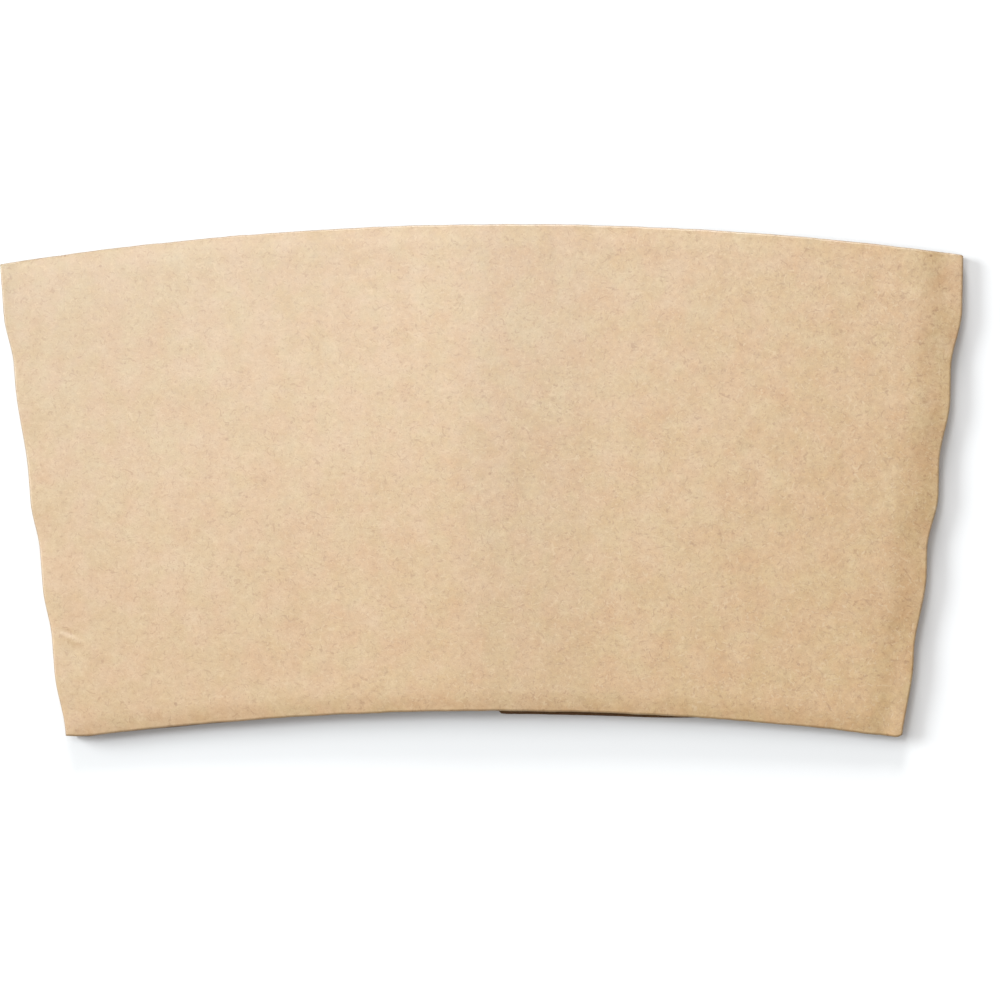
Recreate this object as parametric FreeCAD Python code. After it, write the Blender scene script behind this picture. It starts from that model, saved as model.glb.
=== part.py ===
import FreeCAD, Part
import math
import os

# Paper cup sleeve (hot-cup jacket), folded flat and lying on its back.
# One die-cut blank of single-face corrugated kraft board: a smooth outer liner
# with a fluted medium bonded inside it.  The blank is folded along two side
# lines and its two ends are glued in a lap behind the middle of the front, so
# the whole sleeve is one solid.
#
# Frame: +X to the right of the front panel, +Y towards the wide edge, +Z up,
# out of the front panel.  Millimetres.  The origin is the centre of the
# bounding box, on the plane that the back rests on.

V = FreeCAD.Vector

# ---------------------------------------------------------------- outline
half_top = 63.75          # half the width between the folds at the wide edge
half_bottom = 55.35       # half the width between the folds at the narrow edge
corner_rise = 62.94       # height between the wide and the narrow corners
sag_top = 4.61            # rise of the wide edge's arc over its chord
sag_bottom = 3.70         # rise of the narrow edge's arc over its chord
fold_angle = 7.87         # each fold line leans this much from the flutes

# ---------------------------------------------------------------- board
liner_t = 0.25            # outer liner
medium_t = 0.18           # fluted medium
bond = 0.04               # depth that the medium's crests are pressed in
board_t = 1.50            # liner and flutes together
pitch = 3.80              # flute pitch
flute_r = 0.50            # radius of a flute's crest, at mid-thickness
crushed_t = 0.45          # liner with the medium crushed flat on it

# ---------------------------------------------------------------- folded stack
side_h = 3.20             # height of the folded sleeve beside the folds
crown = 1.30              # the front stands this much higher over the lap
crown_flat = 43.0         # beyond this the front is level
crown_left = -6.0         # the front bends over the lap's edge from here ...
crown_right = 3.0         # ... to here, and stays nearly level over the lap
crown_end = 22.0          # from here the front falls towards the right fold
fold_h = 2.00             # height of the pinched fold
fold_w = 6.0              # width over which the front falls to the fold
fold_flat = 1.4           # flat start of the fold strip, under the front
fold_lap = 0.7            # how far the panels run into that flat start

# ---------------------------------------------------------------- lap
free_edge_x = 2.10        # free edge of the right half, the outer one
tab_w = 20.0              # width of the glued lap
tab_board_t = 1.36        # the tab's flutes are pressed a little
joggle_x = -3.9           # the left half starts to climb over the edge here
tab_inset = 0.5           # the tab stands back this much at both edges
peek = 0.52               # the right half stands out below the front ...
peek_end_x = 29.3         # ... and meets the front's edge here

# ---------------------------------------------------------------- folds
# The folds jump from flute to flute, so each fold line runs in small steps.
step_y = (18.7, 6.7, -5.6, -17.3, -29.2)     # heights of the steps
step_left = (0.82, 7.5)    # shift and length of a step on the left fold
step_right = (1.40, 8.5)   # the same on the right fold
station = 2.0              # spacing of the fold line's points

y_wide_corner = (corner_rise - sag_top) / 2.0
y_narrow_corner = y_wide_corner - corner_rise
y_top = y_wide_corner + sag_top
y_bottom_mid = y_narrow_corner + sag_bottom


def arc_radius(half_chord, sag):
    return (half_chord ** 2 + sag ** 2) / (2.0 * sag)


r_top = arc_radius(half_top, sag_top)
r_bottom = arc_radius(half_bottom, sag_bottom)


def y_wide(x):
    return y_top - r_top + math.sqrt(r_top ** 2 - x ** 2)


def y_narrow(x):
    return y_bottom_mid - r_bottom + math.sqrt(r_bottom ** 2 - x ** 2)


def smooth(t):
    t = min(1.0, max(0.0, t))
    return t * t * (3.0 - 2.0 * t)


def fold_x(y, side):
    """Half width at height y; side is -1 for the left fold, 1 for the right."""
    shift, length = step_left if side < 0 else step_right
    total = half_top - half_bottom
    count = sum(smooth((c - y) / length + 0.5) for c in step_y)
    full = sum(smooth((c - y_narrow_corner) / length + 0.5) for c in step_y)
    gentle = (total - shift * full) / corner_rise
    fall = gentle * (y_wide_corner - y) if y < y_wide_corner else 0.0
    return half_top - fall - shift * count


def crown_z(x):
    """Height of the front's outer face at x."""
    if x <= -crown_flat or x >= crown_flat:
        return side_h
    rise = crown / (crown_flat + (crown_left + crown_right) / 2.0)
    if x < crown_left:
        return side_h + rise * (x + crown_flat)
    if x < crown_right:
        d = x - crown_left
        w = crown_right - crown_left
        return side_h + rise * (crown_left + crown_flat) + rise * (d - d * d / (2.0 * w))
    if x < crown_end:
        return side_h + crown
    return side_h + crown * (1.0 - smooth((x - crown_end) / (crown_flat - crown_end)))


# ---------------------------------------------------------------- board section
def arc3(centre, radius, a0, a1, place):
    pts = [(centre[0] + radius * math.cos(a), centre[1] + radius * math.sin(a))
           for a in (a0, (a0 + a1) / 2.0, a1)]
    return Part.Arc(*[place(*q) for q in pts]).toShape()


def board(u_low, u_high, phase, outer_z, sign, thick, y_low, y_high):
    """A fluted board whose flutes run along Y, from y_low to y_high.

    outer_z(u) is the height of the liner's outer face.  sign is -1 where the
    flutes hang under the liner and 1 where they stand on it.  Each flute is an
    arc at its crest and at its bond, joined by straight walls.
    """
    first = int(math.floor((u_low - phase) / pitch))
    last = int(math.ceil((u_high - phase) / pitch))
    depth = thick - liner_t - medium_t + bond       # wave height, centre line
    z_bond = liner_t + medium_t / 2.0 - bond
    r = flute_r
    half = medium_t / 2.0
    nodes = [phase + i * pitch for i in range(first, last + 1)]
    base = [sign * outer_z(u) for u in nodes]

    def place(u, z):
        return V(u, y_low, sign * z)

    bonds = [(u, z + z_bond + r) for u, z in zip(nodes, base)]
    crests = [((u + v) / 2.0, (z + w) / 2.0 + z_bond + depth - r)
              for u, v, z, w in zip(nodes, nodes[1:], base, base[1:])]

    def lean(c, d):
        """Slope of the wall from bond centre c to crest centre d."""
        du, dz = abs(d[0] - c[0]), d[1] - c[1]
        return math.atan2(dz, du) + math.asin(2.0 * r / math.hypot(du, dz))

    right = [lean(c, d) for c, d in zip(bonds, crests)]        # walls going up
    left = [lean(c, d) for c, d in zip(bonds[1:], crests)]     # walls coming down
    down = -math.pi / 2.0
    up = math.pi / 2.0

    def ring(c, radius, a):
        return (c[0] + radius * math.cos(a), c[1] + radius * math.sin(a))

    # the free side of the medium, from the first bond to the last
    near, far = r - half, r + half
    edges = [Part.makeLine(place(u, z), place(v, w))
             for u, z, v, w in zip(nodes, base, nodes[1:], base[1:])]
    edges.append(Part.makeLine(place(nodes[-1], base[-1]), place(*ring(bonds[-1], near, down))))
    for i in range(len(crests) - 1, -1, -1):
        c, d, e = bonds[i + 1], crests[i], bonds[i]
        stop = down if i == len(crests) - 1 else down + right[i + 1]
        edges.append(arc3(c, near, stop, down - left[i], place))
        edges.append(Part.makeLine(place(*ring(c, near, down - left[i])),
                                   place(*ring(d, far, up - left[i]))))
        edges.append(arc3(d, far, up - left[i], up + right[i], place))
        edges.append(Part.makeLine(place(*ring(d, far, up + right[i])),
                                   place(*ring(e, near, down + right[i]))))
    edges.append(arc3(bonds[0], near, down + right[0], down, place))
    edges.append(Part.makeLine(place(*ring(bonds[0], near, down)), place(nodes[0], base[0])))
    section = Part.Face(Part.Wire(edges))

    # the closed channels between the liner and the medium
    hollows = []
    for i, d in enumerate(crests):
        slope = math.atan2(base[i + 1] - base[i], pitch)
        c, e = bonds[i], bonds[i + 1]

        def meet(q, toward):
            """Angle about bond q at which the medium leaves the liner."""
            # distance from q to the liner's inner face
            z_face = base[i] + liner_t + (q[0] - nodes[i]) * math.tan(slope)
            h = (q[1] - z_face) * math.cos(slope)
            return down + slope + toward * math.acos(h / far)

        a0, a1 = meet(c, 1.0), meet(e, -1.0)
        ring_edges = [
            arc3(c, far, a0, down + right[i], place),
            Part.makeLine(place(*ring(c, far, down + right[i])), place(*ring(d, near, up + right[i]))),
            arc3(d, near, up + right[i], up - left[i], place),
            Part.makeLine(place(*ring(d, near, up - left[i])), place(*ring(e, far, down - left[i]))),
            arc3(e, far, down - left[i], a1, place),
            Part.makeLine(place(*ring(e, far, a1)), place(*ring(c, far, a0))),
        ]
        hollows.append(Part.Face(Part.Wire(ring_edges)))
    section = section.cut(hollows).Faces[0]
    return section.extrude(V(0, y_high - y_low, 0))


def prism(edges, low=-2.0, high=8.0):
    wire = Part.Wire(edges)
    wire.translate(V(0, 0, low))
    return Part.Face(wire).extrude(V(0, 0, high - low))


def line(a, b):
    return Part.makeLine(V(a[0], a[1], 0), V(b[0], b[1], 0))


def arc(a, m, b):
    return Part.Arc(V(a[0], a[1], 0), V(m[0], m[1], 0), V(b[0], b[1], 0)).toShape()


def chain(points):
    return [line(a, b) for a, b in zip(points, points[1:])]


def fold_points(side, inset):
    """Points along a fold line, from below the narrow edge to above the wide."""
    n = int(round((y_top + 3.0 - (y_narrow_corner - 3.0)) / station))
    ys = [y_narrow_corner - 3.0 + i * station for i in range(n + 1)]
    return [(side * (fold_x(y, side) - inset), y) for y in ys]


def between_arcs(wide_in=0.0, narrow_in=0.0):
    """Everything between the wide edge's arc and the narrow edge's arc."""
    w = 75.0
    a = (-w, y_wide(-w) - wide_in)
    m = (0.0, y_wide(0.0) - wide_in)
    b = (w, y_wide(w) - wide_in)
    c = (w, y_narrow(w) + narrow_in)
    n = (0.0, y_narrow(0.0) + narrow_in)
    d = (-w, y_narrow(-w) + narrow_in)
    return prism([arc(a, m, b), line(b, c), arc(c, n, d), line(d, a)])


def strip_region(side, x_inner, inset):
    """Between a straight inner edge and a fold line, past both arcs."""
    pts = fold_points(side, inset)
    low = (x_inner, pts[0][1])
    high = (x_inner, pts[-1][1])
    return prism(chain(pts) + [line(pts[-1], high), line(high, low), line(low, pts[0])])


sleeve_body = between_arcs()

# ---------------------------------------------------------------- front panel
inner = fold_w + fold_flat - fold_lap
left_pts = fold_points(-1, inner)
right_pts = fold_points(1, inner)
front_region = prism(chain(left_pts) + [line(left_pts[-1], right_pts[-1])]
                     + chain(right_pts[::-1]) + [line(right_pts[0], left_pts[0])])
front = board(-half_top, half_top, 0.0, crown_z, -1, board_t, -45.0, 45.0)
front = front.common(front_region).common(sleeve_body)

# ---------------------------------------------------------------- back halves
# The flutes of a half panel are the front's, turned over the fold line.
turn = 2.0 * fold_angle
mid_half = (half_top + half_bottom) / 2.0


def back_board(side, thick, z0, u_low, u_high):
    # the front's line x = 0 lies this far from the mirrored frame's origin
    reach = 2.0 * mid_half * math.cos(math.radians(fold_angle)) ** 2
    phase = side * reach * 1.0
    b = board(u_low, u_high, phase % pitch, lambda u: z0, 1, thick, -75.0, 75.0)
    b.rotate(V(0, 0, 0), V(0, 0, 1), turn if side < 0 else -turn)
    return b


left_half = back_board(-1, board_t, 0.0, -84.0, 26.0)
left_half = left_half.common(strip_region(-1, joggle_x + 0.7, inner)).common(sleeve_body)

right_half = back_board(1, board_t, 0.0, -26.0, 84.0)
pts = fold_points(1, inner)
cut = 0.6
x0 = free_edge_x
y_low_free = y_narrow(x0) - peek
mid_x = (x0 + peek_end_x) / 2.0
low_arc = arc((x0 + cut, y_low_free), (mid_x, y_narrow(mid_x) - 0.62 * peek),
              (peek_end_x, y_narrow(peek_end_x)))
y_far = y_narrow(70.0)
rest_arc = arc((peek_end_x, y_narrow(peek_end_x)),
               (50.0, y_narrow(50.0)), (70.0, y_far))
wide_y = y_wide(x0) - 0.3
right_outline = prism([low_arc, rest_arc, line((70.0, y_far), (70.0, y_wide(70.0))),
                       arc((70.0, y_wide(70.0)), (35.0, y_wide(35.0) - 0.15),
                           (x0 + cut, wide_y)),
                       line((x0 + cut, wide_y), (x0, wide_y - cut)),
                       line((x0, wide_y - cut), (x0, y_low_free + cut)),
                       line((x0, y_low_free + cut), (x0 + cut, y_low_free))])
right_half = right_half.common(strip_region(1, -10.0, inner)).common(right_outline)

# ---------------------------------------------------------------- glued lap
tab_z = board_t - bond
tab_end = free_edge_x + tab_w
tab = back_board(-1, tab_board_t, tab_z, -40.0, 50.0)
tab_body = between_arcs(tab_inset, tab_inset)
tab_box = Part.makeBox(tab_end - (free_edge_x + 1.2), 120.0, 10.0,
                       V(free_edge_x + 1.2, -60.0, -2.0))
tab = tab.common(tab_box).common(tab_body)

climb = [(joggle_x, 0.0), (joggle_x + 1.2, 0.0), (free_edge_x - 0.4, tab_z),
         (free_edge_x + 2.0, tab_z), (free_edge_x + 2.0, tab_z + crushed_t),
         (free_edge_x - 0.5, tab_z + crushed_t), (joggle_x + 1.1, crushed_t),
         (joggle_x, crushed_t)]
climb_wire = Part.makePolygon([V(x, -45.0, z) for x, z in climb + climb[:1]])
joggle = Part.Face(climb_wire).extrude(V(0, 90.0, 0)).common(between_arcs(0.2, 0.2))

# ---------------------------------------------------------------- folds
# Section of a fold, x outwards from the fold's outermost line: the front comes
# in level, falls in a wide arc, turns round the fold and runs back level.
fall = side_h - fold_h
r_fall = (fold_w ** 2 + fall ** 2) / (2.0 * fall)
a_fall = math.asin(fold_w / r_fall)
r_fold = fold_h / (1.0 + math.cos(a_fall))
x_turn = -r_fold + r_fold * math.sin(a_fall)


def fold_section(y, x_shift, side):
    t = crushed_t

    def p(x, z):
        return V(side * (x + x_shift), y, z)

    xs = x_turn - fold_w                   # where the front starts to fall
    xf = xs - fold_flat

    def on_fall(a, r):
        return p(xs + r * math.sin(a), side_h - r_fall + r * math.cos(a))

    def on_fold(a, r):
        return p(-r_fold + r * math.sin(a), r_fold + r * math.cos(a))

    ri = r_fall - t
    rj = r_fold - t
    am = (a_fall + math.pi) / 2.0
    edges = [
        Part.makeLine(p(xf, side_h), p(xs, side_h)),
        Part.Arc(on_fall(0, r_fall), on_fall(a_fall / 2, r_fall), on_fall(a_fall, r_fall)).toShape(),
        Part.Arc(on_fold(a_fall, r_fold), on_fold(am, r_fold), on_fold(math.pi, r_fold)).toShape(),
        Part.makeLine(p(-r_fold, 0), p(xf, 0)),
        Part.makeLine(p(xf, 0), p(xf, t)),
        Part.makeLine(p(xf, t), p(-r_fold, t)),
        Part.Arc(on_fold(math.pi, rj), on_fold(am, rj), on_fold(a_fall, rj)).toShape(),
        Part.Arc(on_fall(a_fall, ri), on_fall(a_fall / 2, ri), on_fall(0, ri)).toShape(),
        Part.makeLine(p(xs, side_h - t), p(xf, side_h - t)),
        Part.makeLine(p(xf, side_h - t), p(xf, side_h)),
    ]
    return Part.Face(Part.Wire(edges))


def fold_strip(side):
    pts = fold_points(side, 0.0)
    pieces = []
    for (xa, ya), (xb, yb) in zip(pts, pts[1:]):
        face = fold_section(ya, side * xa, side)
        pieces.append(face.extrude(V(xb - xa, yb - ya, 0)))
    strip = pieces[0].multiFuse(pieces[1:]).removeSplitter()
    return strip.common(sleeve_body)


strips = [fold_strip(-1), fold_strip(1)]

# ---------------------------------------------------------------- one solid
parts = [front, left_half, right_half, tab, joggle] + strips
for name, s in zip(("front", "left", "right", "tab", "joggle", "foldL", "foldR"), parts):
    print(name, len(s.Solids), round(s.Volume, 1), s.isValid())
solids = []
for s in parts:
    solids.extend(s.Solids)
sleeve = solids[0].multiFuse(solids[1:])
sleeve = sleeve.removeSplitter()
print("sleeve", len(sleeve.Solids), round(sleeve.Volume, 1), sleeve.isValid(),
      len(sleeve.Faces), [round(s.Volume, 2) for s in sleeve.Solids])
body = max(sleeve.Solids, key=lambda s: s.Volume)

box = body.optimalBoundingBox(False, False)
move = V(-(box.XMin + box.XMax) / 2.0, -(box.YMin + box.YMax) / 2.0, -box.ZMin)
body.translate(move)
box = body.optimalBoundingBox(False, False)
print("moved", [round(c, 4) for c in move])
print("box", round(box.XMin, 3), round(box.XMax, 3), round(box.YMin, 3),
      round(box.YMax, 3), round(box.ZMin, 3), round(box.ZMax, 3))

os.makedirs("parts", exist_ok=True)
body.exportStep("parts/cup_sleeve.step")
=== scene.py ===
import bpy
import math
import numpy as np
from mathutils import Matrix, Vector


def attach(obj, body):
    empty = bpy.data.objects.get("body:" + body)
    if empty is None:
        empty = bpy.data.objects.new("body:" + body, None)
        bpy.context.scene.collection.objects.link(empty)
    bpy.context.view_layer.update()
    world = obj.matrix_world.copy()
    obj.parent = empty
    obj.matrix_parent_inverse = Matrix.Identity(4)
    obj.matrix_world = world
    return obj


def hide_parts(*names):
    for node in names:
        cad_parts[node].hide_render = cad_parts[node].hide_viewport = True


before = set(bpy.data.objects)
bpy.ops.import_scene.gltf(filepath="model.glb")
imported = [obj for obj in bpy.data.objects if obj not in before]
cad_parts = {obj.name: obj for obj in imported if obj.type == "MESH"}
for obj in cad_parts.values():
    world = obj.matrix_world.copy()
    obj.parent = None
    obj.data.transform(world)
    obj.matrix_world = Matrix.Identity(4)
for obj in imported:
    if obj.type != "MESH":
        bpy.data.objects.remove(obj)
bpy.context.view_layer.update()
scene = bpy.context.scene

# Kraft cup sleeve folded flat.  Lengths are millimetres until a mesh is made.
MM = 0.001

# ------------------------------------------------------------------ sizes
HALF_TOP, HALF_BOTTOM = 63.71, 55.33
RISE, SAG_TOP, SAG_BOTTOM = 62.90, 4.60, 3.70
Y_WIDE = (RISE - SAG_TOP) / 2.0
Y_NARROW = Y_WIDE - RISE
Y_TOP = Y_WIDE + SAG_TOP
Y_MID = Y_NARROW + SAG_BOTTOM
R_TOP = (HALF_TOP ** 2 + SAG_TOP ** 2) / (2 * SAG_TOP)
R_BOTTOM = (HALF_BOTTOM ** 2 + SAG_BOTTOM ** 2) / (2 * SAG_BOTTOM)

LINER, MEDIUM, BOARD, PITCH = 0.25, 0.18, 1.50, 3.80
SIDE_H, CROWN, FOLD_H, FACET = 3.20, 1.27, 2.60, 0.125
TURN = math.radians(2 * 7.87)
FREE_X, TAB_END, CLIMB_X = 1.85, 22.1, -3.9
TAB_Z = BOARD - 0.04
PEEK, PEEK_END = 0.60, 30.0
Y_LOWEST = -33.77

# fold steps: height of each step's middle, its shift and its length, and the slope between
STEPS_L = ((19.2, 0.85, 6.3), (7.3, 0.88, 12.0), (-5.5, 0.78, 6.4), (-17.0, 0.73, 6.7), (-28.8, 0.87, 7.9))
STEPS_R = ((18.2, 1.35, 7.8), (6.1, 1.33, 8.5), (-5.7, 1.37, 7.3), (-17.7, 1.51, 10.9), (-29.5, 1.44, 12.0))
SLOPE_L, SLOPE_R = 0.0691, 0.0231


def smooth(t):
    t = np.clip(t, 0.0, 1.0)
    return t * t * (3.0 - 2.0 * t)


def half_x(y, side):
    """Distance of the fold's outermost line from the middle, at height y."""
    y = np.asarray(y, float)
    steps, slope = (STEPS_L, SLOPE_L) if side < 0 else (STEPS_R, SLOPE_R)
    count = sum(q * smooth((c - y) / w + 0.5) for c, q, w in steps)
    return HALF_TOP - (0.15 if side < 0 else 0.0) - count - slope * np.clip(Y_WIDE - y, 0, None)


def y_wide(x):
    return Y_TOP - R_TOP + np.sqrt(R_TOP ** 2 - np.asarray(x, float) ** 2)


def y_narrow(x):
    return Y_MID - R_BOTTOM + np.sqrt(R_BOTTOM ** 2 - np.asarray(x, float) ** 2)


# ------------------------------------------------------------------ noise
def hash_noise(x, y, seed):
    """Smooth value noise of two coordinates, from -1 to 1."""
    x = np.asarray(x, float)
    y = np.asarray(y, float)
    xi, yi = np.floor(x), np.floor(y)
    fx, fy = smooth(x - xi), smooth(y - yi)

    def corner(i, j):
        h = np.sin(i * 127.1 + j * 311.7 + seed * 74.7) * 43758.5453
        return (h - np.floor(h)) * 2.0 - 1.0

    a, b = corner(xi, yi), corner(xi + 1, yi)
    c, d = corner(xi, yi + 1), corner(xi + 1, yi + 1)
    return (a * (1 - fx) + b * fx) * (1 - fy) + (c * (1 - fx) + d * fx) * fy


# ------------------------------------------------------------------ section
A_FALL = math.atan(FACET)                        # lean of the strip beside a fold
R_CORNER = 0.30                                  # radius of the crease's upper corner
Z_CORNER = FOLD_H - R_CORNER * math.cos(A_FALL)  # height of the fold's outermost line
A_TURN = R_CORNER * (1 - math.sin(A_FALL))       # distance in from the fold where the strip starts
A_LOW = 1.15                                     # distance in from the fold where the back lies flat
BEND = 4.0                                       # width of the bend between strip and panel
FALL_W = (SIDE_H - FOLD_H) / FACET + BEND / 2    # width of the strip


def section_z(a):
    """Height of the outer face at distance a in from the fold, on the front side."""
    a = np.asarray(a, float)
    arc = Z_CORNER + np.sqrt(np.clip(R_CORNER ** 2 - (R_CORNER - np.clip(a, 0, R_CORNER)) ** 2, 0, None))
    q = np.clip(A_TURN + FALL_W - a, 0, FALL_W)
    fall = SIDE_H - np.where(q < BEND, FACET * q * q / (2 * BEND), FACET * (q - BEND / 2))
    return np.where(a < A_TURN, arc, fall)


def crown(x, y):
    """Extra height of the front: a straight slope up from the left fold to the lap's
    edge, a bend there, and a fall that steepens towards the right fold."""
    hl, hr = half_x(y, -1), half_x(y, 1)
    x = np.asarray(x, float)
    peak, wide = -1.0, 7.0                       # middle and width of the bend
    up = CROWN / (hl + peak - 0.6)               # slope on the left
    down = 0.0141                                # slope just right of the bend
    end = hr - 8.0
    curve = (CROWN - 0.02 - down * end) / end ** 2
    first = up * (peak - wide / 2 + hl)          # height where the bend starts
    t = np.clip((x - peak + wide / 2) / wide, 0, 1)
    bend = first + up * wide * t - (up + down) * wide * t * t / 2
    d = np.clip(x - 2.0, 0, None)
    right = first + (up - down) * wide / 2 - down * (x - peak - wide / 2) - curve * d * d
    z = np.where(x < peak - wide / 2, up * (x + hl), np.where(x < peak + wide / 2, bend, right))
    return np.clip(z, 0, CROWN)


def edge_drop(x, y, depth=0.20, width=2.6):
    """How far the die has pressed the board down beside its two cut edges."""
    e = np.minimum(y_wide(x) - y, y - y_narrow(x))
    t = np.clip(1.0 - np.clip(e, 0, None) / width, 0, 1)
    return depth * t ** 1.7


def step_dent(a, y, side):
    """Small hollows beside the fold where its line steps from flute to flute."""
    steps = STEPS_L if side < 0 else STEPS_R
    s = 0.0
    for k, (c, q, w) in enumerate(steps):
        s = s + (0.6 + 0.4 * math.sin(2.1 * k + side)) * np.exp(-((y - c + 1.2) / 2.6) ** 2)
    return (0.07 if side < 0 else 0.10) * s * np.exp(-(a / 3.0) ** 2)


def waves(x, y):
    """Very gentle unevenness of the panel."""
    return (0.045 * hash_noise(x / 21.0 + 3.1, y / 26.0 + 1.7, 1)
            + 0.018 * hash_noise(x / 9.0, y / 13.0, 2)) * smooth((y_wide(x) - y) / 6) * smooth((y - y_narrow(x)) / 6)


def wrinkle(x, y):
    """The short curved wrinkle beside the left fold, near the narrow corner."""
    px, py = x + 54.9, y + 19.5
    line = py + 0.36 * px + 0.10 * px ** 2
    along = np.exp(-((px - 0.4) / 1.4) ** 4)
    return (0.075 * np.exp(-(line / 0.34) ** 2) - 0.050 * np.exp(-((line + 0.62) / 0.42) ** 2)) * along \
        + 0.045 * np.exp(-((line + 2.0) / 1.0) ** 2) * np.exp(-((px - 1.6) / 2.0) ** 4)


def front_z(x, y, ripple=True):
    """Height of the front's outer face."""
    x = np.asarray(x, float)
    y = np.asarray(y, float)
    al, ar = half_x(y, -1) + x, half_x(y, 1) - x
    a = np.minimum(al, ar)
    z = section_z(a)
    k = smooth(a / 3.0)
    z = z + crown(x, y)
    z = z - edge_drop(x, y) * (0.35 + 0.65 * k)
    z = z - np.where(al < ar, step_dent(al, y, -1), step_dent(ar, y, 1))
    # the left fold is pressed less flat than the right one, which leans most at its wide corner
    z = z + 0.40 * np.exp(-(al / 4.5) ** 2)
    z = z - 0.10 * np.exp(-(ar / 1.8) ** 2) - 0.28 * np.exp(-(ar / 4.0) ** 2 - ((y - 29.0) / 9.0) ** 2)
    z = z + (waves(x, y) - wrinkle(x, y) - 0.36 * ((y + 1.0) / 32.0) ** 2) * k     # the front bows a little
    if ripple:
        z = z + 0.002 * np.cos(2 * np.pi * x / PITCH) * smooth((a - 2) / 4)
    return z


# ------------------------------------------------------------------ mesh tools
def normals_of(P):
    """Unit normals of a grid of points."""
    du = np.gradient(P, axis=0)
    dv = np.gradient(P, axis=1)
    n = np.cross(du, dv)
    return n / np.maximum(np.linalg.norm(n, axis=2, keepdims=True), 1e-12)


class Build:
    """Collects closed sheets of one mesh."""

    def __init__(self):
        self.co, self.faces, self.mat, self.smooth, self.flute, self.rim, self.count = [], [], [], [], [], [], 0

    def sheet(self, P, Q, flute, mats, rim=None):
        """A closed sheet between point grids P (outer) and Q (inner).  mats are the
        materials of the outer face, the inner face and the rim; rim is 1 on the outer
        face's cut edges and folds, which wear and painted shade make darker, and 0 elsewhere."""
        n, m = P.shape[:2]
        base = self.count
        self.co += [P.reshape(-1, 3), Q.reshape(-1, 3)]
        self.flute += [np.asarray(flute, float).reshape(-1)] * 2
        self.rim += [np.zeros(n * m) if rim is None else rim.reshape(-1), np.zeros(n * m)]
        self.count += 2 * n * m
        idx = np.arange(n * m).reshape(n, m) + base
        jdx = idx + n * m
        a, b, c, d = idx[:-1, :-1], idx[1:, :-1], idx[1:, 1:], idx[:-1, 1:]
        self._add(np.stack([a, b, c, d], -1).reshape(-1, 4), mats[0], True)
        a, b, c, d = jdx[:-1, :-1], jdx[1:, :-1], jdx[1:, 1:], jdx[:-1, 1:]
        self._add(np.stack([d, c, b, a], -1).reshape(-1, 4), mats[1], True)
        loop_i = np.concatenate([idx[:, 0], idx[-1, 1:], idx[-2::-1, -1], idx[0, -2:0:-1]])
        loop_j = loop_i + n * m
        a, b = loop_i, np.roll(loop_i, -1)
        c, d = np.roll(loop_j, -1), loop_j
        self._add(np.stack([b, a, d, c], -1), mats[2], False)

    def _add(self, quads, mat, smooth_face):
        self.faces.append(quads)
        self.mat.append(np.full(len(quads), mat))
        self.smooth.append(np.full(len(quads), smooth_face))

    def object(self, name, materials):
        co = np.concatenate(self.co) * MM
        faces = np.concatenate(self.faces)
        mesh = bpy.data.meshes.new(name)
        mesh.vertices.add(len(co))
        mesh.vertices.foreach_set("co", co.astype(np.float32).ravel())
        mesh.loops.add(faces.size)
        mesh.loops.foreach_set("vertex_index", faces.astype(np.int32).ravel())
        mesh.polygons.add(len(faces))
        mesh.polygons.foreach_set("loop_start", (np.arange(len(faces)) * 4).astype(np.int32))
        mesh.polygons.foreach_set("loop_total", np.full(len(faces), 4, np.int32))
        mesh.polygons.foreach_set("material_index", np.concatenate(self.mat).astype(np.int32))
        mesh.polygons.foreach_set("use_smooth", np.concatenate(self.smooth))
        for m in materials:
            mesh.materials.append(m)
        for label, values in (("across_flutes", self.flute), ("rim_wear_and_shade", self.rim)):
            at = mesh.attributes.new(label, "FLOAT", "POINT")
            at.data.foreach_set("value", np.concatenate(values).astype(np.float32))
        mesh.update(calc_edges=True)
        mesh.validate()
        ob = bpy.data.objects.new(name, mesh)
        scene.collection.objects.link(ob)
        return ob


def rows_v(n_mid=64, edge=2.8, n_edge=9):
    """Row positions from the narrow edge (0) to the wide edge (1), closer at the edges."""
    h = 64.0
    e = np.linspace(0, edge, n_edge + 1) / h
    mid = np.linspace(edge / h, 1 - edge / h, n_mid + 1)[1:-1]
    return np.concatenate([e, mid, (1 - e)[::-1]])


V = np.unique(np.concatenate([rows_v(60), np.linspace(0.186, 0.238, 14)]))


def place_rows(x_of, low_in, high_in):
    """For a column given by x_of(y), the row heights between the two arcs."""
    y = Y_NARROW + V * RISE
    for _ in range(6):
        x = x_of(y)
        lo = np.maximum(y_narrow(x) + low_in(x), Y_LOWEST)
        hi = y_wide(x) - high_in(x)
        y = lo + (hi - lo) * V
    return x_of(y), y


# ------------------------------------------------------------------ liner
def cut_wander(x, seed):
    """The die's edge isn't perfectly clean."""
    return 0.035 * hash_noise(x / 2.3, 0.0, seed) + 0.02 * hash_noise(x / 0.7, 0.0, seed + 1)


def blunt(x):
    """The narrow edge is worn back a little at its left corner."""
    return 0.42 * np.clip((-x - 51.6) / 3.6, 0, 1.1) ** 1.5


def front_low(x):
    corner = np.clip(x - (HALF_BOTTOM - 1.0), 0, 1.2)
    return (cut_wander(x, 11) + 0.36 * corner ** 2 - 0.10 - 0.06 * smooth((x - 45.0) / 6.0)
            + 0.10 * smooth((-x - 40.0) / 8.0) + blunt(x))


def front_high(x):
    cl = np.clip(-x - (HALF_TOP - 0.5), 0, 0.6)
    cr = np.clip(x - (HALF_TOP - 0.5), 0, 0.6)
    return -0.02 + cut_wander(x, 13) + 0.5 * cl ** 2 + 0.5 * cr ** 2


def left_low(x):
    return -0.14 + 0.08 * smooth((-x - 40.0) / 8.0) + 0.06 * hash_noise(x / 3.1, 0.0, 17) + 0.9 * blunt(x)


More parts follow.
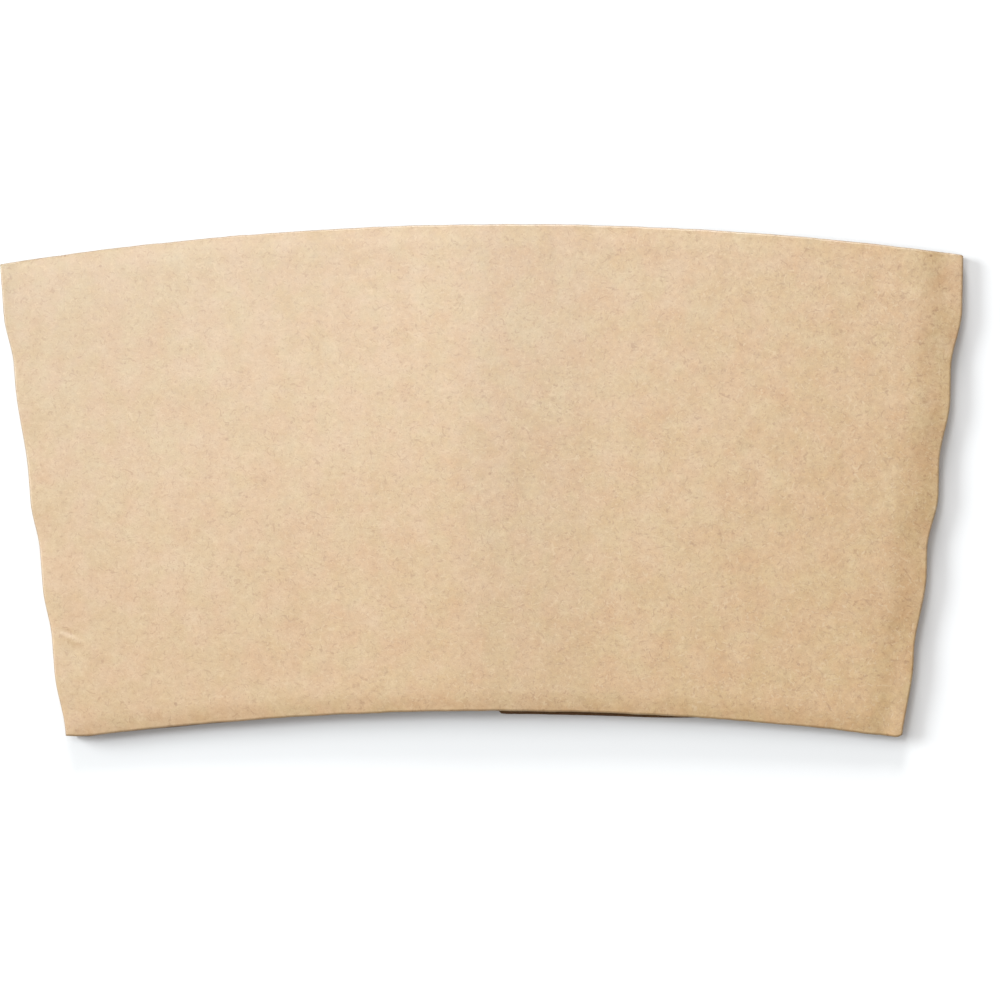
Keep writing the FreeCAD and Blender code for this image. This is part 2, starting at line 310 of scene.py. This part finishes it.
def left_high(x):
    return 0.15 + cut_wander(x, 19)


def tab_in(x):
    return 0.15 + 0.35 * smooth((x - CLIMB_X) / 4.0) + cut_wander(x, 23)


def right_low(x):
    t = np.clip((PEEK_END - x) / (PEEK_END - FREE_X), 0, 1)
    out = PEEK * (1.0 - (1.0 - t) ** 6)
    corner = np.clip(0.75 - (x - FREE_X), 0, 0.75)
    fold = np.clip(x - (HALF_BOTTOM - 1.2), 0, 1.4)
    return -out + corner + 0.42 * fold ** 2 + 0.3 * cut_wander(x, 29)


def right_high(x):
    corner = np.clip(0.6 - (x - FREE_X), 0, 0.6)
    return 0.15 + corner + cut_wander(x, 31)


cols = []        # (x, y, z, flute) of each column of the liner's outer face


def add_column(x_of, z_of, low_in, high_in, flute_of):
    x, y = place_rows(x_of, low_in, high_in)
    cols.append((x, y, z_of(x, y) + 0.0 * y, flute_of(x, y) + 0.0 * y))


def back_flute(x, y, side):
    """Distance across the flutes on a back half, continuing the front's count."""
    c, s = math.cos(TURN), math.sin(TURN)
    reach = (HALF_TOP + HALF_BOTTOM) * math.cos(TURN / 2) ** 2
    return side * reach - (c * x - side * s * y)


def back_z(x, y):
    """The back lies on the table, with its cut edges pressed up a little."""
    return 0.12 * edge_drop(x, y, 1.0, 1.8)


def climb_z(x):
    t = np.clip((x - (CLIMB_X + 1.0)) / (FREE_X - 0.3 - CLIMB_X - 1.0), 0, 1)
    return TAB_Z * smooth(t)


FOLD_A = np.concatenate([np.linspace(7.6, 2.0, 13), np.linspace(1.7, A_TURN, 8)[:-1]])
BACK_A = FOLD_A[FOLD_A > A_LOW + 0.1]
N_TURN = 21

# the tab, from its end to the lap's edge, and the climb down to the table
for x0 in np.concatenate([np.linspace(TAB_END, FREE_X + 1.2, 20), np.linspace(FREE_X + 0.6, CLIMB_X, 14)]):
    add_column(lambda y, x0=x0: x0 + 0.0 * y,
               lambda x, y: climb_z(x) + 0.0 * y,
               tab_in, tab_in, lambda x, y: back_flute(x, y, -1))
# the left half, out to the fold
for q in np.linspace(0, 1, 56)[1:-1]:
    add_column(lambda y, q=q: CLIMB_X + q * (-(half_x(y, -1) - 7.6) - CLIMB_X),
               back_z,
               lambda x: left_low(x) + (tab_in(x) - left_low(x)) * smooth((x - CLIMB_X + 3) / 3),
               lambda x: left_high(x), lambda x, y: back_flute(x, y, -1))


def add_fold(side, up):
    """Columns round a fold, from the back to the front or the other way."""
    back = [("back", a) for a in BACK_A]
    turn = [("turn", t) for t in np.linspace(0, 1, N_TURN)]
    fall = [("front", a) for a in FOLD_A[::-1]]
    seq = back + turn + fall
    if not up:
        seq = seq[::-1]
    for kind, p in seq:
        if kind == "back":
            add_column(lambda y, a=p: side * (half_x(y, side) - a), back_z,
                       left_low if side < 0 else right_low,
                       left_high if side < 0 else right_high,
                       lambda x, y: back_flute(x, y, side))
        elif kind == "front":
            add_column(lambda y, a=p: side * (half_x(y, side) - a), front_z,
                       front_low, front_high, lambda x, y: x)
        else:
            if p < 0.5:                                    # the rounded lower part
                phi = math.pi * (0.5 - p)
                a, z0 = A_LOW * (1 - math.cos(phi)), Z_CORNER * (1 - math.sin(phi))
            else:                                          # the tight upper corner
                th = math.pi / 2 - (math.pi / 2 - A_FALL) * (2 * p - 1)
                a, z0 = R_CORNER * (1 - math.sin(th)), Z_CORNER + R_CORNER * math.cos(th)
            w = float(smooth(z0 / FOLD_H))

            def z_of(x, y, a=a, z0=z0, w=w):
                edge = max(min(a, A_TURN), 0.02)
                top = front_z(side * (half_x(y, side) - edge), y) - section_z(edge)
                return z0 + w * top + (1 - w) * back_z(x, y)

            lo_b, lo_f = (left_low if side < 0 else right_low), front_low
            hi_b, hi_f = (left_high if side < 0 else right_high), front_high
            add_column(lambda y, a=a: side * (half_x(y, side) - a), z_of,
                       lambda x, w=w, f=lo_f, b=lo_b: w * f(x) + (1 - w) * b(x),
                       lambda x, w=w, f=hi_f, b=hi_b: w * f(x) + (1 - w) * b(x),
                       lambda x, y: x)


add_fold(-1, True)
# the front, from fold to fold
for t in np.linspace(0, 1, 184)[1:-1]:
    add_column(lambda y, t=t: -(half_x(y, -1) - 7.6) * (1 - t) + (half_x(y, 1) - 7.6) * t,
               front_z, front_low, front_high, lambda x, y: x)
add_fold(1, False)
# the right half, in to its free edge
for q in np.concatenate([np.linspace(0, 0.97, 58)[1:], [0.985, 0.992, 1.0]]):
    add_column(lambda y, q=q: (half_x(y, 1) - 7.6) * (1 - q) + FREE_X * q,
               back_z, right_low, right_high, lambda x, y: back_flute(x, y, 1))

P = np.stack([np.stack([c[0], c[1], c[2]], -1) for c in cols])
F = np.stack([c[3] for c in cols])
N = normals_of(P)
# the outer normal points away from the inside of the folded sleeve
mid = len(cols) // 2
if N[mid, len(V) // 2, 2] < 0:
    N = -N
    flip = True
else:
    flip = False
Q = P - LINER * N
# 1 along the cut edges, and along the outermost line of each fold
in_low = P[:, :, 1] - P[:, :1, 1]
in_high = P[:, -1:, 1] - P[:, :, 1]
in_fold = np.minimum(half_x(P[:, :, 1], -1) + P[:, :, 0], half_x(P[:, :, 1], 1) - P[:, :, 0])
RIM = np.clip(1 - np.minimum(in_low, in_high) / 0.30, 0, 1)
RIM = np.maximum(RIM, np.clip(1 - in_fold / 0.24, 0, 1) * np.clip((P[:, :, 2] - 0.6) / 1.2, 0, 1))


# ------------------------------------------------------------------ medium
def grid_sheet(build, us, span, height, place, thick, mats, rows=18):
    """A fluted sheet.  us are positions across the flutes; span(u) gives each line's two
    ends along the flutes; height(u, w) gives the wave's centre line."""
    lines = []
    for u in us:
        s = span(u)
        if s is not None and s[1] - s[0] > 0.5:
            lines.append((u, s[0], s[1]))
    if len(lines) < 3:
        return
    t = np.linspace(0, 1, rows)
    t = 0.5 - 0.5 * np.cos(np.pi * t) * (0.75 + 0.25 * np.cos(np.pi * t) ** 2)
    u = np.array([l[0] for l in lines])[:, None] + 0.0 * t
    w = np.array([l[1] for l in lines])[:, None] * (1 - t) + np.array([l[2] for l in lines])[:, None] * t
    C = place(u, w, height(u, w))
    n = normals_of(C)
    if n[len(lines) // 2, rows // 2, 2] < 0:
        n = -n
        C, n, u = C[::-1], n[::-1], u[::-1]
    top, low = C + n * thick / 2, C - n * thick / 2
    # keep the winding outward
    du = C[1, 0] - C[0, 0]
    dv = C[0, 1] - C[0, 0]
    if np.cross(du, dv)[2] < 0:
        top, low, u = top[::-1], low[::-1], u[::-1]
    build.sheet(top, low, u, mats)


def crush(a):
    """Share of the flute height left at distance a in from a fold."""
    return smooth((a - 0.9) / 5.2)


WAVE = BOARD - LINER - MEDIUM + 0.04


def depth_at(x, y):
    """Height of the wave, limited by the room between the front and the back."""
    a = np.minimum(half_x(y, -1) + x, half_x(y, 1) - x)
    room = (section_z(a) - 2 * LINER) / 2 - MEDIUM - 0.02
    return np.minimum(WAVE, np.clip(room, 0.05, None)) * (0.12 + 0.88 * crush(a))


y_table = np.linspace(Y_NARROW - 0.5, Y_TOP + 0.5, 700)


def front_span(u):
    ok = (y_table > y_narrow(u) + front_low(u) + 0.03) & (y_table < y_wide(u) - front_high(u) - 0.03)
    ok &= (half_x(y_table, -1) + u > 0.55) & (half_x(y_table, 1) - u > 0.55)
    k = np.nonzero(ok)[0]
    if len(k) < 3:
        return None
    lo = max(y_table[k[0]], float(y_narrow(u) + front_low(u) + 0.03))
    hi = float(y_wide(u) - front_high(u) - 0.03)
    if k[0] > 0 and y_table[k[0] - 1] < float(y_narrow(u)) + 0.02:
        lo = float(y_narrow(u) + front_low(u) + 0.03)
    if y_table[k[-1]] < hi - 0.3:
        hi = y_table[k[-1]]
    return lo, hi


def front_wave(u, w):
    d = depth_at(u, w) - 0.5 * edge_drop(u, w)
    face = front_z(u, w, False) - LINER - MEDIUM / 2 + 0.04
    return face - np.clip(d, 0.02, None) * (1 - np.cos(2 * np.pi * u / PITCH)) / 2


flutes = Build()
step = PITCH / 12
grid_sheet(flutes, np.arange(-62.4, 62.4, step), front_span, front_wave,
           lambda u, w, z: np.stack([u, w, z], -1), MEDIUM, (0, 0, 1), rows=26)


def half_sheet(side, x_lo, x_hi, base, wave, low_in, high_in):
    """The fluted sheet of one back half, or of the tab, between x_lo and x_hi."""
    c, s = math.cos(TURN), math.sin(TURN)
    e_u = np.array([c, -side * s])           # across the flutes
    e_w = np.array([side * s, c])            # along the flutes
    reach = (HALF_TOP + HALF_BOTTOM) * math.cos(TURN / 2) ** 2
    ws = np.linspace(-75, 75, 3001)

    def span(u):
        x, y = u * e_u[0] + ws * e_w[0], u * e_u[1] + ws * e_w[1]
        ok = (x > x_lo) & (x < x_hi) & (np.abs(x) < 70)
        xc = np.clip(x, -70, 70)
        ok &= (y > y_narrow(xc) + low_in(xc) + 0.03) & (y < y_wide(xc) - high_in(xc) - 0.03)
        ok &= (half_x(y, -1) + x > 1.0) & (half_x(y, 1) - x > 1.0)
        k = np.nonzero(ok)[0]
        if len(k) < 3:
            return None
        return ws[k[0]], ws[k[-1]]

    def height(u, w):
        x, y = u * e_u[0] + w * e_w[0], u * e_u[1] + w * e_w[1]
        d = np.minimum(depth_at(x, y), wave - (np.clip(x - 3.0, 0, None) * 0.0125 if base > 1 else 0.0))
        near = np.minimum(y_wide(np.clip(x, -70, 70)) - y, y - y_narrow(np.clip(x, -70, 70)))
        d = d * (1 - 0.10 * np.clip(1 - near / 1.8, 0, 1))
        lift = back_z(x, y) if base < 1 else 0.0
        phase = side * reach - u
        return base + lift + LINER + MEDIUM / 2 - 0.04 + d * (1 - np.cos(2 * np.pi * phase / PITCH)) / 2

    def place(u, w, z):
        return np.stack([u * e_u[0] + w * e_w[0], u * e_u[1] + w * e_w[1], z], -1)

    grid_sheet(flutes, np.arange(-84.0, 84.0, step), span, height, place, MEDIUM, (0, 0, 1), rows=20)


half_sheet(-1, -80.0, CLIMB_X + 0.6, 0.0, WAVE, left_low, left_high)
half_sheet(1, FREE_X + 0.05, 80.0, 0.0, WAVE, lambda x: right_low(x) + 0.02, right_high)
half_sheet(-1, FREE_X + 0.6, TAB_END - 0.05, TAB_Z, WAVE - 0.14, tab_in, tab_in)


# ------------------------------------------------------------------ materials
def new_material(name):
    m = bpy.data.materials.new(name)
    m.use_nodes = True
    nt = m.node_tree
    nt.nodes.clear()
    out = nt.nodes.new("ShaderNodeOutputMaterial")
    bsdf = nt.nodes.new("ShaderNodeBsdfPrincipled")
    nt.links.new(bsdf.outputs["BSDF"], out.inputs["Surface"])
    return m, nt, bsdf


class Net:
    """Short ways to add nodes."""

    def __init__(self, nt):
        self.nt = nt

    def node(self, kind, **props):
        n = self.nt.nodes.new(kind)
        for k, v in props.items():
            setattr(n, k, v)
        return n

    def set(self, socket, value):
        if isinstance(value, bpy.types.NodeSocket):
            self.nt.links.new(value, socket)
        else:
            socket.default_value = value

    def math(self, op, a, b=None, c=None, clamp=False):
        n = self.node("ShaderNodeMath", operation=op, use_clamp=clamp)
        self.set(n.inputs[0], a)
        if b is not None:
            self.set(n.inputs[1], b)
        if c is not None:
            self.set(n.inputs[2], c)
        return n.outputs[0]

    def vmath(self, op, a, b=None):
        n = self.node("ShaderNodeVectorMath", operation=op)
        self.set(n.inputs[0], a)
        if b is not None:
            if op == "SCALE":
                self.set(n.inputs["Scale"], b)
            else:
                self.set(n.inputs[1], b)
        return n.outputs["Value"] if op in ("LENGTH", "DOT_PRODUCT", "DISTANCE") else n.outputs[0]

    def noise(self, vector, scale, detail=2.0, rough=0.5, distortion=0.0, color=False):
        n = self.node("ShaderNodeTexNoise")
        self.set(n.inputs["Vector"], vector)
        n.inputs["Scale"].default_value = scale
        n.inputs["Detail"].default_value = detail
        n.inputs["Roughness"].default_value = rough
        n.inputs["Distortion"].default_value = distortion
        return n.outputs["Color"] if color else n.outputs["Fac"]

    def range(self, v, a, b, c, d, smoothstep=False):
        n = self.node("ShaderNodeMapRange", clamp=True,
                      interpolation_type="SMOOTHSTEP" if smoothstep else "LINEAR")
        self.set(n.inputs["Value"], v)
        n.inputs["From Min"].default_value = a
        n.inputs["From Max"].default_value = b
        n.inputs["To Min"].default_value = c
        n.inputs["To Max"].default_value = d
        return n.outputs["Result"]

    def mix(self, fac, a, b, blend="MIX"):
        n = self.node("ShaderNodeMix", data_type="RGBA", blend_type=blend)
        self.set(n.inputs["Factor"], fac)
        self.set(n.inputs[6], a)
        self.set(n.inputs[7], b)
        return n.outputs[2]


def lin(r, g, b):
    """A paper colour, given as it looks, as the reflectance that gives it under these lights."""
    def f(c):
        c = c / 255.0
        return c / 12.92 if c <= 0.04045 else ((c + 0.055) / 1.055) ** 2.4
    return (f(r) * 0.429, f(g) * 0.387, f(b) * 0.322, 1.0)


def fibres(net, pos, scale, width, keep, seed, bend=0.5, reach=1.25):
    """Short curved threads: thin contour lines of a smooth noise, broken by a second one."""
    shifted = net.vmath("ADD", pos, (seed * 3.17, seed * 1.31, seed * 2.23))
    warp = net.noise(shifted, scale * 0.9, 1.0, 0.5, 0.0, color=True)
    warp = net.vmath("SCALE", net.vmath("SUBTRACT", warp, (0.5, 0.5, 0.5)), bend / scale)
    p = net.vmath("ADD", shifted, warp)
    field = net.noise(p, scale, 0.0, 0.5)
    line = net.math("ABSOLUTE", net.math("SUBTRACT", field, 0.5))
    thread = net.range(line, 0.0, width, 1.0, 0.0, True)
    breaks = net.noise(net.vmath("ADD", shifted, (7.7, 3.3, 1.1)), scale * reach, 1.0, 0.6)
    gate = net.range(breaks, keep, keep + 0.045, 0.0, 1.0, True)
    return net.math("MULTIPLY", thread, gate)


def kraft(name, face, warm, dark, pale, rough, gloss, amount=1.0, stripe=0.0, painted_light_and_marks=False, grain=1.0, fleck=1.0):
    """Uncoated kraft paper: soft cloudiness, short curved fibres, specks and a fine felt grain."""
    m, nt, bsdf = new_material(name)
    net = Net(nt)
    pos = net.vmath("SCALE", net.node("ShaderNodeTexCoord").outputs["Object"], 1000.0)   # millimetres
    # wide and fine cloudiness of the pulp
    cloud = net.noise(pos, 0.055, 3.0, 0.55)
    patch = net.noise(net.vmath("ADD", pos, (31.0, 5.0, 9.0)), 0.42, 3.0, 0.62)
    felt = net.noise(net.vmath("ADD", pos, (3.0, 17.0, 4.0)), 1.35, 4.0, 0.66)
    fine = net.noise(pos, 5.2, 3.0, 0.7)
    blot = net.noise(net.vmath("ADD", pos, (23.0, 61.0, 2.0)), 0.19, 2.0, 0.5)
    hue = net.noise(net.vmath("ADD", pos, (11.0, 43.0, 7.0)), 0.26, 2.0, 0.55)

    # painted light: the mottling's contrast grows towards the right, where the light rakes and the sheen's veil is
    # thinner
    place = net.node("ShaderNodeSeparateXYZ")
    net.set(place.inputs[0], pos)
    raking_contrast = net.range(place.outputs[0], -55.0, 55.0, 0.80, 1.22)
    wide = net.math("MULTIPLY", net.math("SUBTRACT", cloud, 0.5), 0.14 * amount)
    wide = net.math("MULTIPLY_ADD", net.math("SUBTRACT", blot, 0.5), 0.13 * amount, wide)
    wide = net.math("MULTIPLY_ADD", net.math("SUBTRACT", patch, 0.5), 0.38 * amount, wide)
    wide = net.math("MULTIPLY_ADD", wide, raking_contrast, 1.0)
    tone = net.math("MULTIPLY", net.math("SUBTRACT", felt, 0.5), 0.60 * amount)
    tone = net.math("MULTIPLY_ADD", net.math("SUBTRACT", fine, 0.5), 0.42 * amount, tone)
    tone = net.math("MULTIPLY", tone, raking_contrast)
    if stripe:
        # faint stripes of tone at the flute pitch
        at = net.node("ShaderNodeAttribute", attribute_type="GEOMETRY", attribute_name="across_flutes")
        line = net.math("COSINE", net.math("MULTIPLY", at.outputs["Fac"], 2 * math.pi / PITCH))
        tone = net.math("MULTIPLY_ADD", line, stripe, tone)
    tone = net.math("ADD", tone, 1.0)

    base = net.mix(net.range(hue, 0.36, 0.64, 0.0, 1.0, True), face, warm)
    grey = net.node("ShaderNodeCombineColor")
    for i, power in enumerate((0.80, 1.0, 1.35)):
        net.set(grey.inputs[i], net.math("POWER", tone, power))
    brown = net.node("ShaderNodeCombineColor")
    for i, power in enumerate((0.40, 1.0, 1.95)):          # dark clouds are browner, not greyer
        net.set(brown.inputs[i], net.math("POWER", wide, power))
    color = net.mix(1.0, base, grey.outputs[0], "MULTIPLY")
    color = net.mix(1.0, color, brown.outputs[0], "MULTIPLY")
    # this switch paints light and shade into the face's colour, and adds its two brown marks further down
    if painted_light_and_marks:
        # painted shade: the sheet is made yellower and darker towards its lower right, away from the lights
        way = net.math("MULTIPLY_ADD", place.outputs[1], -0.8, net.math("MULTIPLY", place.outputs[0], 0.6))
        color = net.mix(net.range(way, -15.0, 70.0, 0.0, 1.0), color,
                        net.mix(1.0, color, (1.0, 0.92, 0.69, 1.0), "MULTIPLY"))
        # and painted sheen: less red towards its upper left, where the lights' glossy veil falls
        color = net.mix(net.range(way, -20.0, -60.0, 0.0, 1.0), color,
                        net.mix(1.0, color, (0.915, 0.945, 0.985, 1.0), "MULTIPLY"))
        # painted shade: a little darker just right of the lap's edge, where the front bends away from the light
        lap = net.math("MULTIPLY", net.range(place.outputs[0], -5.0, 2.0, 0.0, 1.0, True),
                       net.range(place.outputs[0], 11.0, 19.0, 1.0, 0.0, True))
        color = net.mix(net.math("MULTIPLY", lap, 0.045), color, (0.0, 0.0, 0.0, 1.0))

    d1 = fibres(net, pos, 0.42, 0.022, 0.580, 1.0, reach=2.4)
    d2 = fibres(net, pos, 0.75, 0.040, 0.560, 5.0, reach=2.2)
    d3 = fibres(net, pos, 1.25, 0.062, 0.545, 9.0, reach=1.8)
    l1 = fibres(net, pos, 0.60, 0.034, 0.560, 13.0, reach=2.4)
    l2 = fibres(net, pos, 1.10, 0.060, 0.545, 21.0, reach=2.0)
    darks = net.math("MAXIMUM", net.math("MAXIMUM", d1, d2), net.math("MULTIPLY", d3, 0.8))
    lights = net.math("MAXIMUM", l1, net.math("MULTIPLY", l2, 0.85))
    # painted light: the dark fibres also show more strongly towards the right
    darks = net.math("MULTIPLY", darks, net.range(place.outputs[0], -55.0, 55.0, 0.85, 1.05))
    lights = net.math("MULTIPLY", lights, raking_contrast)
    color = net.mix(net.math("MULTIPLY", darks, 0.40 * fleck), color, dark)
    color = net.mix(net.math("MULTIPLY", lights, 0.55 * fleck), color, pale)

    # small dark specks
    vor = net.node("ShaderNodeTexVoronoi", feature="F1", distance="EUCLIDEAN")
    net.set(vor.inputs["Vector"], pos)
    vor.inputs["Scale"].default_value = 0.62
    vor.inputs["Randomness"].default_value = 1.0
    sep = net.node("ShaderNodeSeparateColor")
    net.set(sep.inputs[0], vor.outputs["Color"])
    size = net.math("MULTIPLY", net.math("POWER", sep.outputs[0], 8.0), 0.15)
    speck = net.math("LESS_THAN", vor.outputs["Distance"], size)
    speck = net.math("MULTIPLY", speck, net.range(sep.outputs[1], 0.2, 1.0, 0.25, 0.8))
    color = net.mix(net.math("MULTIPLY", speck, 0.6 * fleck), color, dark)

    if painted_light_and_marks:
        # two small brown marks near the wide edge
        front = net.range(place.outputs[2], 1.0, 1.5, 0.0, 1.0)
        flat = net.vmath("MULTIPLY", pos, (1.0, 1.0, 0.0))
        for x, y, size in ((59.48, 29.12, 0.18), (-54.82, 30.25, 0.14)):
            mark = net.range(net.vmath("DISTANCE", flat, (x, y, 0.0)), size - 0.08, size + 0.10, 1.0, 0.0, True)
            color = net.mix(net.math("MULTIPLY", net.math("MULTIPLY", mark, front), 0.65), color, dark)

    # darker along cut edges and folds: partly wear, partly painted shade
    rim = net.node("ShaderNodeAttribute", attribute_type="GEOMETRY", attribute_name="rim_wear_and_shade")
    color = net.mix(net.math("MULTIPLY", rim.outputs["Fac"], 0.24), color, (0.0, 0.0, 0.0, 1.0))

    net.set(bsdf.inputs["Base Color"], color)
    r = net.math("MULTIPLY_ADD", net.math("SUBTRACT", felt, 0.5), 0.16, rough)
    net.set(bsdf.inputs["Roughness"], net.math("MULTIPLY_ADD", net.math("SUBTRACT", fine, 0.5), 0.10, r, clamp=True))
    bsdf.inputs["Specular IOR Level"].default_value = gloss

    # relief, in millimetres: felt marks and the fine grain of the fibres
    h = net.math("MULTIPLY", net.math("SUBTRACT", felt, 0.5), 0.018 * grain)
    h = net.math("MULTIPLY_ADD", net.math("SUBTRACT", fine, 0.5), 0.011 * grain, h)
    bump = net.node("ShaderNodeBump")
    bump.inputs["Strength"].default_value = 1.0
    bump.inputs["Distance"].default_value = MM
    net.set(bump.inputs["Height"], h)
    nt.links.new(bump.outputs["Normal"], bsdf.inputs["Normal"])
    return m


liner_face = kraft("kraft_liner", lin(228.0, 196.2, 158.8), lin(225.4, 198.0, 156.2), lin(158, 109, 54),
                   lin(245, 220, 185), 0.42, 1.0, stripe=0.011, painted_light_and_marks=True)
# the liner's inside and the fluted medium are painted darker browns: partly their own darker pulp, partly painted
# shade for the gap seen under the front's bottom edge
liner_back = kraft("kraft_liner_inside", lin(156, 122, 84), lin(159, 126, 84), lin(104, 76, 46),
                   lin(180, 148, 110), 0.80, 0.3, fleck=0.8)
cut_edge = kraft("kraft_cut_edge", lin(196, 160, 118), lin(206, 172, 128), lin(128, 92, 54),
                 lin(222, 192, 152), 0.88, 0.2, amount=1.5, grain=2.0, fleck=0.5)
medium_face = kraft("kraft_medium", lin(124, 91, 56), lin(130, 96, 58), lin(84, 58, 34),
                    lin(150, 116, 78), 0.84, 0.3, amount=1.2, fleck=0.8)
medium_edge = kraft("kraft_medium_edge", lin(140, 104, 66), lin(148, 112, 70), lin(92, 64, 38),
                    lin(166, 132, 92), 0.88, 0.2, amount=1.4, fleck=0.4)

liner = Build()
if flip:
    liner.sheet(P[::-1], Q[::-1], F[::-1], (0, 1, 2), RIM[::-1])
else:
    liner.sheet(P, Q, F, (0, 1, 2), RIM)
sleeve = liner.object("sleeve_liner", [liner_face, liner_back, cut_edge])
waves_ob = flutes.object("sleeve_flutes", [medium_face, medium_edge])

for ob in (sleeve, waves_ob):
    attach(ob, "root")
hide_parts("cup_sleeve")

# ------------------------------------------------------------------ floor, light, camera
bpy.ops.mesh.primitive_plane_add(size=4.0, location=(0, 0, -0.00002))
floor = bpy.context.object
floor.name = "floor"
fm, fnt, fb = new_material("white_ground")
fnet = Net(fnt)
fpos = fnet.vmath("SCALE", fnet.node("ShaderNodeTexCoord").outputs["Object"], 1.0)
ftone = fnet.range(fnet.noise(fpos, 3.0, 2.0), 0.3, 0.7, 0.99, 1.0)
fcol = fnet.node("ShaderNodeCombineColor")
for i, share in enumerate((0.60, 0.60, 0.60)):
    fnet.set(fcol.inputs[i], fnet.math("MULTIPLY", ftone, share))
fnet.set(fb.inputs["Base Color"], fcol.outputs[0])
fb.inputs["Roughness"].default_value = 0.9
fb.inputs["Specular IOR Level"].default_value = 0.1
floor.data.materials.append(fm)

world = bpy.data.worlds.new("studio")
scene.world = world
world.use_nodes = True
bg = world.node_tree.nodes["Background"]
bg.inputs["Color"].default_value = (0.570, 0.556, 0.549, 1.0)
bg.inputs["Strength"].default_value = 1.0


def area_light(name, at, size, power, color, target=(0, 0, 0)):
    data = bpy.data.lights.new(name, "AREA")
    data.shape = "DISK"
    data.size = size
    data.energy = power
    data.color = color
    ob = bpy.data.objects.new(name, data)
    scene.collection.objects.link(ob)
    ob.location = at
    ob.rotation_mode = "QUATERNION"
    ob.rotation_quaternion = (Vector(at) - Vector(target)).to_track_quat("Z", "Y")
    return ob


def dome(az, el, dist):
    """A place on the dome over the sleeve."""
    a, e = math.radians(az), math.radians(el)
    return (dist * math.cos(a) * math.cos(e), dist * math.sin(a) * math.cos(e), dist * math.sin(e))


area_light("key_left", dome(165, 33, 1.2), 0.65, 19.02, (0.918, 0.970, 1.0))
area_light("key_top", dome(92, 24, 1.2), 0.50, 13.28, (0.973, 0.988, 1.0))
area_light("sheen", dome(130, 72, 0.8), 0.22, 1.30, (0.890, 0.954, 1.0))
area_light("fill", dome(120, 86, 1.5), 0.90, 4.68, (1.0, 0.983, 0.970))

cam_data = bpy.data.cameras.new("camera")
cam = bpy.data.objects.new("camera", cam_data)
scene.collection.objects.link(cam)
cam_data.type = "PERSP"
cam_data.sensor_width = 36.0
cam_data.lens = 222.2769
cam_data.clip_start = 0.05
cam_data.clip_end = 20.0
cam.location = (0.07603, -0.00506, 0.8112)
cam.rotation_mode = "XYZ"
cam.rotation_euler = (0.00265, 0.09040, -0.00618)
scene.camera = cam

scene.view_settings.view_transform = "Standard"
scene.view_settings.look = "None"
scene.view_settings.exposure = 0.0
scene.view_settings.gamma = 1.0
